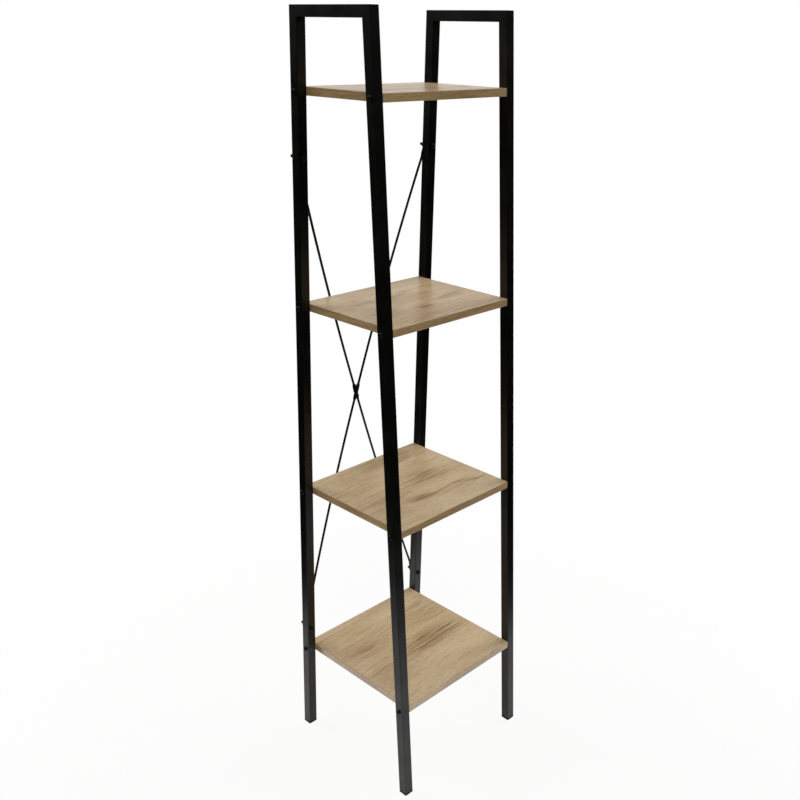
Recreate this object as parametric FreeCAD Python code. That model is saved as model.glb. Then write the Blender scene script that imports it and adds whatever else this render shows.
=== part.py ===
import FreeCAD, Part

import math
import os

# Narrow four-tier ladder shelf. Two side frames of square steel tube lean together towards the top and carry
# four boards between them, and a pair of thin rods crosses behind to keep the frames square.
# Sizes are millimetres. +Z is up, +X is the right-hand side and the front looks along -Y.
# The origin lies on the floor, at the middle of the footprint.

# Whole unit
overall_height = 1550.0
overall_width = 350.0
foot_depth = 345.0
top_depth = 208.0

# Square tube of the side frames
tube_side = 20.0
tube_wall = 1.2
tube_corner_radius = 2.0
tube_inner_corner_share = 0.4

# Boards: a particle board core with a thin band round its edge
board_count = 4
lowest_board_top = 216.0
highest_board_drop = 134.0
board_thickness = 15.0
edge_band_thickness = 1.0
edge_band_radius = 0.7
edge_band_seam = 0.1

# Bolts that hold the boards to the legs, and the threaded inserts that they screw into
bolt_radius = 3.0
bolt_clearance = 0.25
bolt_head_radius = 5.25
bolt_head_height = 3.3
bolt_head_flat_share = 0.55
socket_across_flats = 4.0
socket_depth = 2.0
bolt_tip_reach = 2.0
insert_radius = 5.0
insert_length = 13.0
insert_thread_clearance = 0.1
insert_clearance = 0.1
insert_barb_depth = 0.6
insert_barb_count = 3
insert_hole_spare = 3.0

# Plastic plugs that close the lower ends of the legs
foot_head_height = 4.0
foot_lip = 0.5
foot_edge_chamfer = 0.8
plug_length = 18.0
plug_wall = 1.5
plug_core_gap = 1.0
plug_fin_clearance = 0.1
plug_fin_thickness = 1.2
plug_fin_count = 3

# Crossed rods behind the unit, pressed flat where a bolt passes through
brace_low_height = 265.0
brace_high_drop = 256.5
brace_bow = 24.0
rod_radius = 2.5
rod_clearance = 0.3
rod_flat_width = 12.0
rod_flat_thickness = 2.2
rod_tab_reach = 15.0
rod_crossing_reach = 15.0
rod_neck_length = 12.0
corner_bolt_tip = 7.8
centre_bolt_tip = 2.6
nut_across_flats = 10.0
nut_height = 5.0
nut_chamfer_share = 0.95

# How far a cutting solid runs past the face that it cuts
overrun = 5.0

# Sizes that follow from those above
lean_slope = (foot_depth - top_depth) / 2 / overall_height
lean = math.atan(lean_slope)
tube_half = tube_side / 2
tube_level_half = tube_half / math.cos(lean)
leg_x = overall_width / 2 - tube_half
inner_face_x = overall_width / 2 - tube_side
bolt_hole_radius = bolt_radius + bolt_clearance
insert_hole_radius = insert_radius + insert_clearance
insert_hole_depth = insert_length + bolt_tip_reach + insert_hole_spare
board_pitch = (overall_height - highest_board_drop - lowest_board_top) / (board_count - 1)
board_bolt_length = tube_side + insert_length + bolt_tip_reach
brace_high_height = overall_height - brace_high_drop
corner_bolt_length = tube_side + rod_flat_thickness + nut_height + corner_bolt_tip
centre_bolt_length = 2 * rod_flat_thickness + nut_height + centre_bolt_tip

AXIS_X = FreeCAD.Vector(1, 0, 0)
AXIS_Y = FreeCAD.Vector(0, 1, 0)
AXIS_Z = FreeCAD.Vector(0, 0, 1)
ORIGIN = FreeCAD.Vector(0, 0, 0)
SIDES = {"left": -1, "right": 1}
ENDS = {"front": -1, "rear": 1}


def half_depth(height):
    """Distance from the middle of the unit to the outer face of a leg at a height."""
    return foot_depth / 2 - lean_slope * height


def leg_centre_y(height):
    """Distance from the middle of the unit to the centre line of a leg at a height."""
    return half_depth(height) - tube_level_half


def board_top(level):
    """Height of a board's upper face, counted from the lowest board."""
    return lowest_board_top + level * board_pitch


def board_middle(level):
    """Height of a board's middle, where its bolts lie."""
    return board_top(level) - board_thickness / 2


def aimed(shape, place, direction):
    """Turn a shape built along +Z to look along a direction, and set its origin at a place."""
    shape.Placement = FreeCAD.Placement(place, FreeCAD.Rotation(AXIS_Z, direction))
    return shape


def rounded_rectangle(width, depth, radius):
    """Face of a rectangle with rounded corners, centred on the origin in the XY plane."""
    edges = []
    last_point = None
    for quarter, (side_x, side_y) in enumerate([(1, 1), (-1, 1), (-1, -1), (1, -1)]):
        centre = FreeCAD.Vector(side_x * (width / 2 - radius), side_y * (depth / 2 - radius), 0)
        circle = Part.Circle(centre, AXIS_Z, radius)
        arc = Part.ArcOfCircle(circle, quarter * math.pi / 2, (quarter + 1) * math.pi / 2)
        if last_point is not None:
            edges.append(Part.LineSegment(last_point, arc.StartPoint).toShape())
        edges.append(arc.toShape())
        last_point = arc.EndPoint
    edges.append(Part.LineSegment(last_point, edges[0].Vertexes[0].Point).toShape())
    return Part.Face(Part.Wire(edges))


def hexagon(across_flats, height):
    """Hexagonal prism standing on the origin."""
    corner_radius = across_flats / math.sqrt(3)
    corners = []
    for corner in range(7):
        angle = corner * math.pi / 3
        corners.append(FreeCAD.Vector(corner_radius * math.cos(angle), corner_radius * math.sin(angle), 0))
    return Part.Face(Part.makePolygon(corners)).extrude(AXIS_Z * height)


def turned(profile):
    """Solid of revolution about Z from the (radius, height) points of a closed outline."""
    points = [FreeCAD.Vector(radius, 0, height) for radius, height in profile]
    outline = Part.makePolygon(points + points[:1])
    return Part.Face(outline).revolve(ORIGIN, AXIS_Z, 360)


def side_prism(outline):
    """Prism across the whole width from (y, height) points of a side view."""
    points = [FreeCAD.Vector(-overall_width, y, height) for y, height in outline]
    face = Part.Face(Part.makePolygon(points + points[:1]))
    return face.extrude(AXIS_X * (2 * overall_width))


def square_tube(start, end):
    """Hollow square tube with rounded corners, its centre line running from start to end."""
    inner_side = tube_side - 2 * tube_wall
    inner_radius = tube_corner_radius * tube_inner_corner_share
    run = end - start
    outer = rounded_rectangle(tube_side, tube_side, tube_corner_radius).extrude(AXIS_Z * run.Length)
    inner = rounded_rectangle(inner_side, inner_side, inner_radius).extrude(AXIS_Z * run.Length)
    return aimed(outer.cut(inner), start, run)


def mitre_line():
    """Side view of the mitre at the rear top corner: its outer and inner ends, run on past the tube."""
    outer = FreeCAD.Vector(0, half_depth(overall_height), overall_height)
    inner_height = overall_height - tube_side
    inner = FreeCAD.Vector(0, half_depth(inner_height) - 2 * tube_level_half, inner_height)
    spare = (inner - outer).normalize() * tube_side
    return outer - spare, inner + spare


def leg(side, end):
    """Leaning leg: cut level above its foot, mitred at the top and drilled for its bolts."""
    low = FreeCAD.Vector(side * leg_x, end * leg_centre_y(-overrun), -overrun)
    high_height = overall_height + tube_side
    high = FreeCAD.Vector(side * leg_x, end * leg_centre_y(high_height), high_height)
    tube = square_tube(low, high)
    mitre_outer, mitre_inner = mitre_line()
    outer_y = half_depth(foot_head_height) + tube_side
    inner_y = half_depth(foot_head_height) - 3 * tube_side
    kept = [(outer_y, foot_head_height), (mitre_outer.y, mitre_outer.z),
            (mitre_inner.y, mitre_inner.z), (inner_y, foot_head_height)]
    tube = tube.common(side_prism([(end * y, height) for y, height in kept]))
    for level in range(board_count):
        height = board_middle(level)
        start = FreeCAD.Vector(side * (inner_face_x - overrun), end * leg_centre_y(height), height)
        drill = Part.makeCylinder(bolt_hole_radius, tube_side + 2 * overrun, start, AXIS_X * side)
        tube = tube.cut(drill)
    if end == ENDS["rear"]:
        for height in (brace_low_height, brace_high_height):
            start = brace_seat(side, height) + brace_normal() * overrun
            drill = Part.makeCylinder(bolt_hole_radius, tube_side + 2 * overrun, start, -brace_normal())
            tube = tube.cut(drill)
    return tube


def top_bar(side):
    """Level bar across the top of a side frame, mitred to both legs."""
    height = overall_height - tube_half
    reach = half_depth(overall_height) + tube_side
    front = FreeCAD.Vector(side * leg_x, -reach, height)
    rear = FreeCAD.Vector(side * leg_x, reach, height)
    tube = square_tube(front, rear)
    mitre_outer, mitre_inner = mitre_line()
    kept = [(mitre_outer.y, mitre_outer.z), (mitre_inner.y, mitre_inner.z),
            (-mitre_inner.y, mitre_inner.z), (-mitre_outer.y, mitre_outer.z)]
    return tube.common(side_prism(kept))


def foot(side, end):
    """Plastic plug: a level head under the leg, and a finned hollow core pushed up into the tube."""
    centre = FreeCAD.Vector(side * leg_x, end * leg_centre_y(foot_head_height), 0)
    head_width = tube_side + 2 * foot_lip
    head_depth = 2 * (tube_level_half + foot_lip)
    head = rounded_rectangle(head_width, head_depth, tube_corner_radius + foot_lip)
    head = head.extrude(AXIS_Z * foot_head_height)
    floor_edges = [edge for edge in head.Edges if edge.BoundBox.ZMax < foot_edge_chamfer]
    head = head.makeChamfer(foot_edge_chamfer, floor_edges)
    head.translate(centre)

    bore_side = tube_side - 2 * tube_wall
    core_side = bore_side - 2 * plug_core_gap
    fin_side = bore_side - 2 * plug_fin_clearance
    fin_radius = tube_corner_radius * tube_inner_corner_share
    hollow_side = core_side - 2 * plug_wall
    plug = Part.makeBox(core_side, core_side, plug_length, FreeCAD.Vector(-core_side / 2, -core_side / 2, 0))
    for fin in range(plug_fin_count):
        height = (fin + 1) * plug_length / (plug_fin_count + 1)
        plate = rounded_rectangle(fin_side, fin_side, fin_radius).extrude(AXIS_Z * plug_fin_thickness)
        plate.translate(AXIS_Z * height)
        plug = plug.fuse(plate)
    hollow = Part.makeBox(hollow_side, hollow_side, plug_length + overrun,
                          FreeCAD.Vector(-hollow_side / 2, -hollow_side / 2, plug_wall))
    plug = plug.cut(hollow)
    seat = centre + AXIS_Z * (foot_head_height - plug_wall)
    plug = aimed(plug, seat, FreeCAD.Vector(0, -end * lean_slope, 1))
    return head.fuse(plug).removeSplitter()


def board_bolt_places(level):
    """Centre of each bolt on the outer face of its leg, with the side that it enters from."""
    height = board_middle(level)
    places = []
    for side in SIDES.values():
        for end in ENDS.values():
            place = FreeCAD.Vector(side * overall_width / 2, end * leg_centre_y(height), height)
            places.append((place, side))
    return places


def insert_holes(level):
    """Drills for the threaded inserts in both ends of a board."""
    drills = []
    for place, side in board_bolt_places(level):
        start = FreeCAD.Vector(side * (inner_face_x + overrun), place.y, place.z)
        depth = insert_hole_depth + overrun
        drills.append(Part.makeCylinder(insert_hole_radius, depth, start, AXIS_X * -side))
    return Part.makeCompound(drills)


def board(level):
    """Core of a board, as deep as the legs are apart at its height, drilled in both ends."""
    width = 2 * (inner_face_x - edge_band_thickness)
    depth = 2 * (half_depth(board_middle(level)) - edge_band_thickness)
    corner = FreeCAD.Vector(-width / 2, -depth / 2, board_top(level) - board_thickness)
    return Part.makeBox(width, depth, board_thickness, corner).cut(insert_holes(level))


def edge_band(level):
    """Four strips round a board, eased where they face out, with a seam between them at each corner."""
    reach_x = inner_face_x
    reach_y = half_depth(board_middle(level))
    base = AXIS_Z * (board_top(level) - board_thickness)
    ring = Part.makeBox(2 * reach_x, 2 * reach_y, board_thickness, FreeCAD.Vector(-reach_x, -reach_y, 0))
    ring = ring.makeFillet(edge_band_radius, ring.Edges)
    core_x = reach_x - edge_band_thickness
    core_y = reach_y - edge_band_thickness
    long_x = core_x - edge_band_seam
    strips = []
    for sign in (-1, 1):
        end_strip = Part.makeBox(edge_band_thickness, 2 * reach_y, board_thickness,
                                 FreeCAD.Vector(min(sign * reach_x, sign * core_x), -reach_y, 0))
        long_strip = Part.makeBox(2 * long_x, edge_band_thickness, board_thickness,
                                  FreeCAD.Vector(-long_x, min(sign * reach_y, sign * core_y), 0))
        for strip in (end_strip, long_strip):
            strip = strip.common(ring)
            strip.translate(base)
            strips.append(strip.cut(insert_holes(level)))
    return Part.makeCompound(strips)


def button_bolt(length):
    """Round-headed socket bolt: the head stands on the origin and the shank runs down from it."""
    flat_radius = bolt_head_radius * bolt_head_flat_share
    dome_centre = (flat_radius ** 2 + bolt_head_height ** 2 - bolt_head_radius ** 2) / (2 * bolt_head_height)
    dome_radius = math.hypot(bolt_head_radius, dome_centre)
    rim_angle = math.atan2(-dome_centre, bolt_head_radius)
    flat_angle = math.atan2(bolt_head_height - dome_centre, flat_radius)
    dome_angle = (rim_angle + flat_angle) / 2
    dome_point = FreeCAD.Vector(dome_radius * math.cos(dome_angle), 0,
                                dome_centre + dome_radius * math.sin(dome_angle))
    rim = FreeCAD.Vector(bolt_head_radius, 0, 0)
    flat = FreeCAD.Vector(flat_radius, 0, bolt_head_height)
    crown = FreeCAD.Vector(0, 0, bolt_head_height)
    outline = Part.Wire([Part.LineSegment(ORIGIN, rim).toShape(), Part.Arc(rim, dome_point, flat).toShape(),
                         Part.LineSegment(flat, crown).toShape(), Part.LineSegment(crown, ORIGIN).toShape()])
    head = Part.Face(outline).revolve(ORIGIN, AXIS_Z, 360)
    socket = hexagon(socket_across_flats, socket_depth + overrun)
    socket.translate(AXIS_Z * (bolt_head_height - socket_depth))
    shank = Part.makeCylinder(bolt_radius, length, ORIGIN, -AXIS_Z)
    return head.cut(socket).fuse(shank)


def hex_nut():
    """Hexagonal nut standing on the origin, its corners turned down at both ends, bored for the bolt."""
    corner_radius = nut_across_flats / math.sqrt(3)
    face_radius = nut_across_flats / 2 * nut_chamfer_share
    drop = (corner_radius - face_radius) / math.sqrt(3)
    turned_down = turned([(0, 0), (face_radius, 0), (corner_radius, drop), (corner_radius, nut_height - drop),
                          (face_radius, nut_height), (0, nut_height)])
    bore = Part.makeCylinder(bolt_radius + insert_thread_clearance, nut_height + 2 * overrun,
                             AXIS_Z * -overrun, AXIS_Z)
    return hexagon(nut_across_flats, nut_height).common(turned_down).cut(bore)


def insert_nut():
    """Threaded insert: a barbed sleeve that runs from the origin along +Z into the board."""
    bore_radius = bolt_radius + insert_thread_clearance
    barb_length = insert_length / insert_barb_count
    profile = [(bore_radius, 0)]
    for barb in range(insert_barb_count):
        profile.append((insert_radius, barb * barb_length))
        profile.append((insert_radius - insert_barb_depth, (barb + 1) * barb_length))
    profile.append((bore_radius, insert_length))
    return turned(profile)


def board_bolts(level):
    """The four bolts of a board, their heads on the outer faces of the legs."""
    bolts = []
    for place, side in board_bolt_places(level):
        bolts.append(aimed(button_bolt(board_bolt_length), place, AXIS_X * side))
    return Part.makeCompound(bolts)


def board_inserts(level):
    """The four threaded inserts of a board, flush with its ends."""
    inserts = []
    for place, side in board_bolt_places(level):
        mouth = FreeCAD.Vector(side * inner_face_x, place.y, place.z)
        inserts.append(aimed(insert_nut(), mouth, AXIS_X * -side))
    return Part.makeCompound(inserts)


def brace_normal():
    """Direction that the rear faces of the rear legs look in."""
    return FreeCAD.Vector(0, math.cos(lean), math.sin(lean))


def brace_seat(side, height):
    """Point on a rear leg's rear face where a brace bolt comes out."""
    return FreeCAD.Vector(side * leg_x, half_depth(height), height)


def brace_centre():
    """Point between the rear legs that the two rods cross behind."""
    height = (brace_low_height + brace_high_height) / 2
    return FreeCAD.Vector(0, half_depth(height), height)


def flat_section(x, centre_height):
    """Outline of a rod's pressed section, square to X."""
    corners = []
    for side_y, side_z in [(1, -1), (1, 1), (-1, 1), (-1, -1)]:
        corners.append(FreeCAD.Vector(x, side_y * rod_flat_width / 2,
                                      centre_height + side_z * rod_flat_thickness / 2))
    return Part.makePolygon(corners + corners[:1])


def round_section(x, centre_height, tilt):
    """Outline of a rod's round section in four arcs, tilted about Y."""
    arcs = []
    turn = FreeCAD.Rotation(AXIS_Y, math.degrees(tilt))
    for quarter in range(4):
        points = []
        for step in range(3):
            angle = (quarter - 0.5 + step / 2) * math.pi / 2
            point = FreeCAD.Vector(0, rod_radius * math.cos(angle), rod_radius * math.sin(angle))
            points.append(FreeCAD.Vector(x, 0, centre_height) + turn.multVec(point))
        arcs.append(Part.Arc(*points).toShape())
    return Part.Wire(arcs)


def flat_plate(low_x, bolt_x, base_height):
    """Pressed flat of a rod from low_x to a round end about bolt_x."""
    half_width = rod_flat_width / 2
    inner_low = FreeCAD.Vector(low_x, -half_width, base_height)
    outer_low = FreeCAD.Vector(bolt_x, -half_width, base_height)
    tip = FreeCAD.Vector(bolt_x + half_width, 0, base_height)
    outer_high = FreeCAD.Vector(bolt_x, half_width, base_height)
    inner_high = FreeCAD.Vector(low_x, half_width, base_height)
    outline = Part.Wire([Part.LineSegment(inner_low, outer_low).toShape(),
                         Part.Arc(outer_low, tip, outer_high).toShape(),
                         Part.LineSegment(outer_high, inner_high).toShape(),
                         Part.LineSegment(inner_high, inner_low).toShape()])
    return Part.Face(outline).extrude(AXIS_Z * rod_flat_thickness)


def brace_rod(half_length, crossing_height):
    """Bowed rod along X over the plane Z = 0: flat tabs on the plane, and a flat at the crossing above it."""
    tab_x = half_length - rod_tab_reach
    bow_end_x = tab_x - rod_neck_length
    bow_start_x = rod_crossing_reach + rod_neck_length
    lift = rod_radius + rod_clearance
    rise = crossing_height - lift
    run = bow_end_x - bow_start_x
    bow_radius = (run ** 2 + rise ** 2) / (2 * rise)
    bow_angle = math.asin(run / bow_radius)
    bow_centre = FreeCAD.Vector(bow_start_x, 0, crossing_height - bow_radius)

    bow = Part.Face(round_section(bow_start_x, crossing_height, 0))
    bow = bow.revolve(bow_centre, AXIS_Y, math.degrees(bow_angle))
    crossing_neck = Part.makeLoft([flat_section(rod_crossing_reach, crossing_height),
                                   round_section(bow_start_x, crossing_height, 0)], True, True)
    tab_neck = Part.makeLoft([round_section(bow_end_x, lift, bow_angle),
                              flat_section(tab_x, rod_flat_thickness / 2)], True, True)
    half = bow.fuse([crossing_neck, tab_neck, flat_plate(tab_x, half_length, 0)])
    crossing = Part.makeBox(2 * rod_crossing_reach, rod_flat_width, rod_flat_thickness,
                            FreeCAD.Vector(-rod_crossing_reach, -rod_flat_width / 2,
                                           crossing_height - rod_flat_thickness / 2))
    rod = crossing.fuse([half, half.mirror(ORIGIN, AXIS_X)])
    for x in (-half_length, 0, half_length):
        start = FreeCAD.Vector(x, 0, -overrun)
        drill = Part.makeCylinder(bolt_hole_radius, crossing_height + 2 * overrun, start, AXIS_Z)
        rod = rod.cut(drill)
    return rod.removeSplitter()


def placed_brace_rod(high_side, crossing_height):
    """Brace rod from the top of one rear leg to the foot of the other."""
    diagonal = brace_seat(high_side, brace_high_height) - brace_seat(-high_side, brace_low_height)
    along = FreeCAD.Vector(diagonal).normalize()
    normal = brace_normal()
    rod = brace_rod(diagonal.Length / 2, crossing_height)
    rotation = FreeCAD.Rotation(along, normal.cross(along), normal, "ZXY")
    rod.Placement = FreeCAD.Placement(brace_centre(), rotation)
    return rod


def corner_seats():
    """The four points where brace bolts come out of the rear legs."""
    seats = []
    for side in SIDES.values():
        for height in (brace_low_height, brace_high_height):
            seats.append(brace_seat(side, height))
    return seats


def corner_bolts():
    """Bolts through the rear legs, heads on the front faces."""
    normal = brace_normal()
    bolts = []
    for seat in corner_seats():
        bolts.append(aimed(button_bolt(corner_bolt_length), seat - normal * tube_side, -normal))
    return Part.makeCompound(bolts)


def corner_nuts():
    """Nuts that clamp the rods' tabs to the rear legs."""
    normal = brace_normal()
    nuts = []
    for seat in corner_seats():
        nuts.append(aimed(hex_nut(), seat + normal * rod_flat_thickness, normal))
    return Part.makeCompound(nuts)


def centre_bolt():
    """Bolt that holds the rods together where they cross, its head towards the boards."""
    normal = brace_normal()
    seat = brace_centre() + normal * (brace_bow - rod_flat_thickness)
    return aimed(button_bolt(centre_bolt_length), seat, -normal)


def centre_nut():
    """Nut of the crossing bolt, behind the rods."""
    normal = brace_normal()
    return aimed(hex_nut(), brace_centre() + normal * (brace_bow + rod_flat_thickness), normal)


def build():
    """Every piece of the shelf by its node name."""
    pieces = {}
    for side_name, side in SIDES.items():
        for end_name, end in ENDS.items():
            pieces[f"{side_name}_{end_name}_leg"] = leg(side, end)
            pieces[f"{side_name}_{end_name}_foot"] = foot(side, end)
        pieces[f"{side_name}_top_bar"] = top_bar(side)
    for level in range(board_count):
        number = level + 1
        pieces[f"shelf_board_{number}"] = board(level)
        pieces[f"shelf_edge_band_{number}"] = edge_band(level)
        pieces[f"shelf_bolts_{number}"] = board_bolts(level)
        pieces[f"shelf_insert_nuts_{number}"] = board_inserts(level)
    pieces["brace_rod_left_high"] = placed_brace_rod(SIDES["left"], brace_bow + rod_flat_thickness / 2)
    pieces["brace_rod_right_high"] = placed_brace_rod(SIDES["right"], brace_bow - rod_flat_thickness / 2)
    pieces["brace_corner_bolts"] = corner_bolts()
    pieces["brace_corner_nuts"] = corner_nuts()
    pieces["brace_centre_bolt"] = centre_bolt()
    pieces["brace_centre_nut"] = centre_nut()
    return pieces


os.makedirs("parts", exist_ok=True)
for node, shape in build().items():
    shape.exportStep(f"parts/{node}.step")
    state = "valid" if shape.isValid() else "INVALID"
    print(node, len(shape.Solids), "solids", round(shape.Volume), "mm3", state)
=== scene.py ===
"""Dressed model of a narrow ladder shelf: square-tube side frames, oak-print boards and a rod brace."""

import logging
import math
from dataclasses import dataclass, field
from enum import Enum
from typing import Any, Callable

import bmesh
import bpy
from bmesh.types import BMEdge
from bpy.types import Material, Node, NodeSocket, NodeTree, Object
from mathutils import Matrix, Vector


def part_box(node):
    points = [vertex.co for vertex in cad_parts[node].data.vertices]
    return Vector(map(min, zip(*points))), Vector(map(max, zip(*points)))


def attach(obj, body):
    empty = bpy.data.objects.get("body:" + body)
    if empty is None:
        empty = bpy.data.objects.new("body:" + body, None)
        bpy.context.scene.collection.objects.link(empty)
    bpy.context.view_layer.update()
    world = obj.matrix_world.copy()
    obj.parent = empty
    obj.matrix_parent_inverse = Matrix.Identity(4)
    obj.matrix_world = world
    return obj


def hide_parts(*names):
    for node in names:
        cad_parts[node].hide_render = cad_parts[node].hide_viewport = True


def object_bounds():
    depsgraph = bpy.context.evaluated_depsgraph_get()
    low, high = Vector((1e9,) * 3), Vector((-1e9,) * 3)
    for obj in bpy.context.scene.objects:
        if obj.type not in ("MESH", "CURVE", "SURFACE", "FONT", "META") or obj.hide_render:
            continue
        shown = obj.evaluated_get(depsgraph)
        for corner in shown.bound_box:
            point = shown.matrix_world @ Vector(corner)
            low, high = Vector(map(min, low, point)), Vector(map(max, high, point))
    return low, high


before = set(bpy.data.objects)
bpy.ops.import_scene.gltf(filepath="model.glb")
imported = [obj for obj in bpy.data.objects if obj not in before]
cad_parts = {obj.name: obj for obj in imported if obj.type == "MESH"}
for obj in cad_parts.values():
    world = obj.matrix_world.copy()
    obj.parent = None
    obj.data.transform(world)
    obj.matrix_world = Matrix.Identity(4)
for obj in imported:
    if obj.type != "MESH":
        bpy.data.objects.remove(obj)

LOG = logging.getLogger("ladder_shelf")
CAD_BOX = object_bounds()
BODY = "root"
WHITE = "#FFFFFF"
MM_PER_METRE = 1000.0
SMOOTH_ANGLE = math.radians(32)
# Steps across a small bevel that only eases an edge.
EASE_STEPS = 2
HEXAGON = 6
# From a hexagon's middle to its corners, for each unit across its flats.
HEXAGON_CORNER = 1 / math.sqrt(3)
# Points closer than this, in metres, are at the same place.
TOUCH = 1e-5
# Blender's ring pattern repeats once in this length at a scale of 1.
RING_PERIOD = math.pi / 10
# Noise lies about a half. This brings it to zero.
NOISE_TO_ZERO = (-0.5, -0.5, -0.5)

Span = tuple[float, float]
Triple = tuple[float, float, float]
Stops = tuple[tuple[float, str], ...]


class Side(Enum):
    """Side frame of the shelf, with its direction along X."""

    LEFT = -1
    RIGHT = 1


class End(Enum):
    """Front or rear of the shelf, with its direction along Y."""

    FRONT = -1
    REAR = 1


class Element(Enum):
    """Kind of mesh element that a selection picks."""

    VERT = "verts"
    EDGE = "edges"
    FACE = "faces"


class Grain(Enum):
    """Direction of the printed grain, as the turn about Z that lays it along X."""

    ALONG_X = 0.0
    ALONG_Y = math.pi / 2


class Slot(Enum):
    """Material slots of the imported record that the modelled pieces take."""

    POWDER_COAT = "black_powder_coat"
    FASTENER = "black_fastener"
    BOARD = "oak_print_board"
    BAND = "oak_print_band"


def linear(hex_colour: str) -> tuple[float, float, float, float]:
    """Turn an sRGB hex colour into linear values for a shader socket, by the formula of the sRGB standard.

    Args:
        hex_colour: Colour such as "#C0A884".

    Returns:
        Linear red, green and blue, with an alpha of 1.
    """
    channels = []
    for start in (1, 3, 5):
        value = int(hex_colour[start:start + 2], 16) / 255
        channels.append(value / 12.92 if value <= 0.04045 else ((value + 0.055) / 1.055) ** 2.4)
    return channels[0], channels[1], channels[2], 1.0


def per_metre(size_mm: float) -> float:
    """Scale that repeats a pattern once in a size given in millimetres."""
    return MM_PER_METRE / size_mm


def add_node(tree: NodeTree, kind: str, inputs: dict[Any, Any], stops: Stops = (), **settings: Any) -> Node:
    """Add a shader node with its settings, constants and links.

    Args:
        tree: Node tree that gets the node.
        kind: Blender's type name of the node, without the ShaderNode that it starts with.
        inputs: Value, source socket or source node for each input, by its name or number. A source node
            gives its first output.
        stops: Position and sRGB hex colour of each stop, where the node has a colour ramp.
        settings: Properties of the node.

    Returns:
        The new node.
    """
    node = tree.nodes.new(f"ShaderNode{kind}")
    for name, value in settings.items():
        setattr(node, name, value)
    for key, value in inputs.items():
        if isinstance(value, Node):
            value = next(output for output in value.outputs if output.enabled)
        if isinstance(value, NodeSocket):
            tree.links.new(value, node.inputs[key])
        else:
            node.inputs[key].default_value = value
    if stops:
        elements = node.color_ramp.elements
        while len(elements) < len(stops):
            elements.new(1.0)
        for element, (position, colour) in zip(elements, stops):
            element.position = position
            element.color = linear(colour)
    return node


def new_material(name: str) -> tuple[Material, NodeTree]:
    """Make an empty node material.

    Args:
        name: Name of the real material.

    Returns:
        The material and its node tree.
    """
    material = bpy.data.materials.new(name)
    material.use_nodes = True
    material.node_tree.nodes.clear()
    return material, material.node_tree


def begin(add: Callable[..., Any], name: str, **sizes: Any) -> Object:
    """Start a piece from a primitive, with nothing else selected, and open it in edit mode.

    Args:
        add: Operator that adds the primitive.
        name: Name of the piece.
        sizes: Size and place for the operator.

    Returns:
        The new object, at the origin and in edit mode.
    """
    bpy.ops.object.select_all(action="DESELECT")
    add(**sizes)
    piece = bpy.context.object
    piece.name = name
    piece.data.name = name
    bpy.ops.object.transform_apply()
    bpy.ops.object.mode_set(mode="EDIT")
    return piece


def pick(piece: Object, element: Element, test: Callable[[Any], bool]) -> int:
    """Select only the elements of the piece in edit mode that pass a test.

    Args:
        piece: Object in edit mode.
        element: Kind of element to select.
        test: Says whether an element is wanted.

    Returns:
        How many elements were selected.
    """
    bpy.ops.mesh.select_mode(type=element.name)
    bpy.ops.mesh.select_all(action="DESELECT")
    mesh = bmesh.from_edit_mesh(piece.data)
    chosen = [item for item in getattr(mesh, element.value) if test(item)]
    for item in chosen:
        item.select_set(True)
    bmesh.update_edit_mesh(piece.data)
    return len(chosen)


def rise(edge: BMEdge) -> float:
    """Difference in height between the ends of an edge."""
    return abs(edge.verts[0].co.z - edge.verts[1].co.z)


def round_edges(piece: Object, radius: float, steps: int, test: Callable[[Any], bool]) -> None:
    """Bevel the edges of the piece in edit mode that pass a test.

    Args:
        piece: Object in edit mode.
        radius: How far the bevel reaches from an edge.
        steps: Faces across the bevel.
        test: Says whether an edge is wanted.
    """
    pick(piece, Element.EDGE, test)
    bpy.ops.mesh.bevel(offset=radius, segments=steps, profile=0.5)


def settle(piece: Object, place: Matrix) -> None:
    """Put the active piece at a place in object mode, with the place in its mesh.

    Args:
        piece: Active object, the only one selected.
        place: Where its own origin and axes go.
    """
    bpy.ops.object.mode_set(mode="OBJECT")
    piece.matrix_world = place
    bpy.ops.object.transform_apply()


def apply_modifier(piece: Object, kind: str, **settings: Any) -> None:
    """Add a modifier to the active piece in object mode and apply it.

    Args:
        piece: Active object.
        kind: Blender's type name of the modifier.
        settings: Properties of the modifier.
    """
    modifier = piece.modifiers.new(kind.lower(), kind)
    for name, value in settings.items():
        setattr(modifier, name, value)
    bpy.ops.object.modifier_apply(modifier=modifier.name)


def close(piece: Object) -> Object:
    """Finish the piece in edit mode: normals outwards, smooth over its bevels and flat on its faces.

    Args:
        piece: Object in edit mode.

    Returns:
        The same object, in object mode.
    """
    bpy.ops.mesh.select_all(action="SELECT")
    bpy.ops.mesh.normals_make_consistent(inside=False)
    bpy.ops.object.mode_set(mode="OBJECT")
    bpy.ops.object.shade_smooth_by_angle(angle=SMOOTH_ANGLE)
    apply_modifier(piece, "WEIGHTED_NORMAL", keep_sharp=True)
    return piece


def join(pieces: list[Object], name: str) -> Object:
    """Join finished objects into one piece.

    Args:
        pieces: Objects to join, in object mode.
        name: Name of the joined piece.

    Returns:
        The joined object.
    """
    bpy.ops.object.select_all(action="DESELECT")
    for piece in pieces:
        piece.select_set(True)
    bpy.context.view_layer.objects.active = pieces[0]
    bpy.ops.object.join()
    pieces[0].name = name
    pieces[0].data.name = name
    return pieces[0]


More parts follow.
